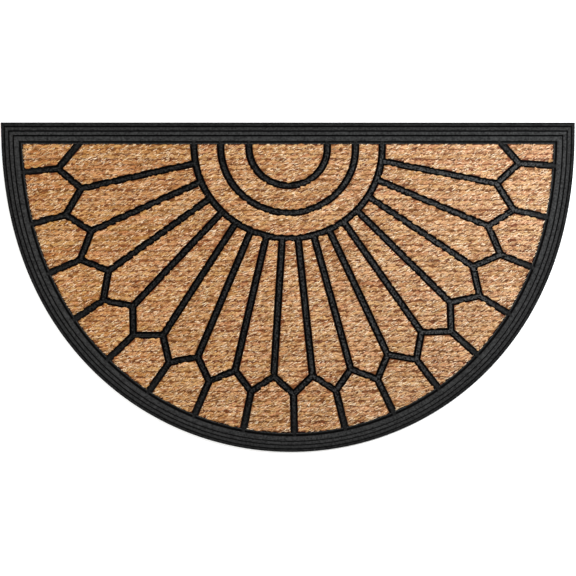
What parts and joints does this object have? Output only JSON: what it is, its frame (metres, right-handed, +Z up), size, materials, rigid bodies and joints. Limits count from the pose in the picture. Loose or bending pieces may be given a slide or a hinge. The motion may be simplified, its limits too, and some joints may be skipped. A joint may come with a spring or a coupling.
{
  "type": "half-round coir doormat",
  "caption": "Half-round doormat of woven coir held in a black rubber moulding, with a ridged border and a sunburst of rubber ribs.",
  "frame": {"origin": "on the floor under the middle of the mat's footprint", "axes": "+X along the straight edge, +Y towards the straight edge with the curved side at -Y, +Z up out of the pile"},
  "size_m": [0.762, 0.457, 0.009],
  "materials": {
    "rubber": "matt moulded rubber with a faint grain",
    "coir": "coarse woven coconut fibre"
  },
  "bodies": {
    "root": {"rubber_moulding": "rubber", "coir_matting": "coir"}
  },
  "joints": []
}
